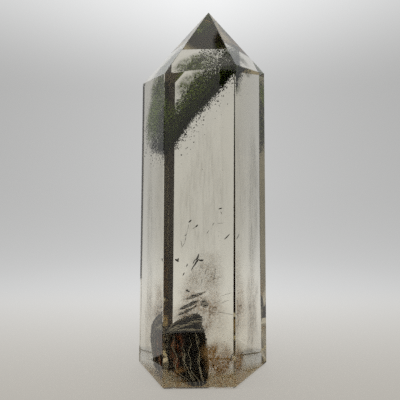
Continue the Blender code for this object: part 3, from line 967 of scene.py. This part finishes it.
def bowlMaterial():
    # Matt pale paper, lit from behind: the glow follows height on the wall and depth on the floor, both
    # in metres, and falls off to the sides
    material, add = newMaterial("pale_studio_paper")
    where = add("TexCoord")
    split = add("SeparateXYZ", links={"Vector": (where, "Object")})
    near = add("MapRange",
               {"From Min": -0.06, "From Max": 0.09, "To Min": studio["floorFront"],
                "To Max": studio["floorBack"], "interpolation_type": "SMOOTHSTEP"},
               {"Value": (split, "Y")})
    far = add("MapRange",
              {"From Min": 0.07, "From Max": 0.28, "To Min": 1.0,
               "To Max": studio["floorFar"] / studio["floorBack"]}, {"Value": (split, "Y")})
    floor = add("Math", {"operation": "MULTIPLY"}, {0: (near, 0), 1: (far, 0)})
    height = add("MapRange", {"From Min": 0.0, "From Max": 0.06}, {"Value": (split, "Z")})
    wall = add("MapRange",
               {"From Min": 0.15, "From Max": 0.28, "To Min": studio["wallGlow"],
                "To Max": studio["topGlow"], "interpolation_type": "SMOOTHSTEP"},
               {"Value": (split, "Z")})
    strength = add("Mix", {"data_type": "FLOAT"}, {0: (height, 0), 2: (floor, 0), 3: (wall, 0)})
    for side in (-1.0, 1.0):
        fall = add("MapRange", {"From Min": 0.02 * side, "From Max": 0.24 * side,
                                "To Min": 1.0, "To Max": studio["sideGlow"]},
                   {"Value": (split, "X")})
        strength = add("Math", {"operation": "MULTIPLY"}, {0: (strength, 0), 1: (fall, 0)})
    # painted shade: the floor's glow and colour are darkened towards near black under the tower, where no
    # light reaches
    around = add("VectorMath",
                 {"operation": "MULTIPLY_ADD", 1: (1.0, 1.0, 0.0), 2: (0.0, -3.0 * mm, 0.0)},
                 {0: (where, "Object")})
    distance = add("VectorMath", {"operation": "LENGTH"}, {0: (around, 0)})
    paintedShadeUnderTower = add("MapRange",
                {"From Min": 12.5 * mm, "From Max": 18.5 * mm, "To Min": 0.02,
                 "interpolation_type": "SMOOTHSTEP"}, {"Value": (distance, "Value")})
    strength = add("Math", {"operation": "MULTIPLY"}, {0: (strength, 0), 1: (paintedShadeUnderTower, 0)})
    grey = add("Mix", {"data_type": "RGBA", 6: linearColor(studio["shadeColor"]),
                       7: linearColor(studio["paperColor"])}, {0: (paintedShadeUnderTower, 0)})
    paper = add("BsdfDiffuse", links={"Color": (grey, 2)})
    # the light is warmer towards the front of the floor
    cool = add("MapRange", {"From Min": -0.02, "From Max": 0.10}, {"Value": (split, "Y")})
    tint = add("Mix", {"data_type": "RGBA", 6: linearColor(studio["warmLight"]),
                       7: linearColor(studio["coolLight"])}, {0: (cool, 0)})
    light = add("Emission", links={"Color": (tint, 2), "Strength": (strength, 0)})
    both = add("AddShader", links={0: (paper, 0), 1: (light, 0)})
    add("OutputMaterial", links={"Surface": (both, 0)})
    return material


def cardMaterial(name, tone):
    # Card that glows at its own even tone instead of being lit: its tone is painted, near black on the black
    # cards and a painted grey glow on the grey card
    material, add = newMaterial(name)
    shader = add("Emission", {"Color": linearColor(tone), "Strength": 1.0})
    add("OutputMaterial", links={"Surface": (shader, 0)})
    return material


def cardPiece(name, bearingFrom, bearingTo, start, reach, high, material):
    # A card bent like an L and turned round the upright axis: along the floor, then up
    bearing = np.radians(np.linspace(bearingFrom, bearingTo, 24))[None, :]
    profile = np.array(((start, studio["cardLift"]), (reach, studio["cardLift"]), (reach, high)))
    points = np.stack((profile[:, :1] * np.cos(bearing), profile[:, :1] * np.sin(bearing),
                       profile[:, 1:] + 0.0 * bearing), -1)
    return makePiece(name, points.reshape(-1, 3), gridFaces(3, 24), material, smooth=False)


bowlPiece(bowlMaterial())
papers = {name: cardMaterial(name, tone) for name, tone in studio["cardPapers"].items()}
for name, *span in studio["cards"]:
    card = cardPiece(name, *span, papers["grey_card" if name.startswith("grey") else "black_card"])
    card.visible_camera = False  # only the quartz sees the cards
    card.visible_diffuse = False
    card.visible_shadow = False

softLight = bpy.data.lights.new("soft_light_above", "AREA")
softLight.shape = "DISK"
softLight.size = studio["lampWidth"] * mm
softLight.energy = studio["lampWatts"]
softLamp = bpy.data.objects.new("soft_light_above", softLight)
softLamp.location = [part * mm for part in studio["lampPlace"]]
softLamp.visible_transmission = False  # it lights the floor; the bowl lights what lies in the quartz
softLamp.visible_glossy = False
scene.collection.objects.link(softLamp)

# the photograph's view, in mm and degrees
photoView = {"place": (-0.78, -140.06, 58.74), "tiltDown": 2.27, "lens": 39.33, "sensor": 36.0}
cameraData = bpy.data.cameras.new("photo_camera")
cameraData.sensor_width = photoView["sensor"]
cameraData.lens = photoView["lens"]
camera = bpy.data.objects.new("photo_camera", cameraData)
camera.location = [part * mm for part in photoView["place"]]
camera.rotation_euler = (math.radians(90.0 - photoView["tiltDown"]), 0.0, 0.0)
scene.collection.objects.link(camera)
scene.camera = camera

world = bpy.data.worlds.new("dark_room")
world.use_nodes = True
world.node_tree.nodes["Background"].inputs["Color"].default_value = (0.0, 0.0, 0.0, 1.0)
scene.world = world
scene.view_settings.view_transform = "Standard"
scene.cycles.max_bounces = 24
scene.cycles.glossy_bounces = 14
scene.cycles.transmission_bounces = 16
scene.cycles.transparent_max_bounces = 16
scene.cycles.use_denoising = False
print("scene stage: studio and camera")
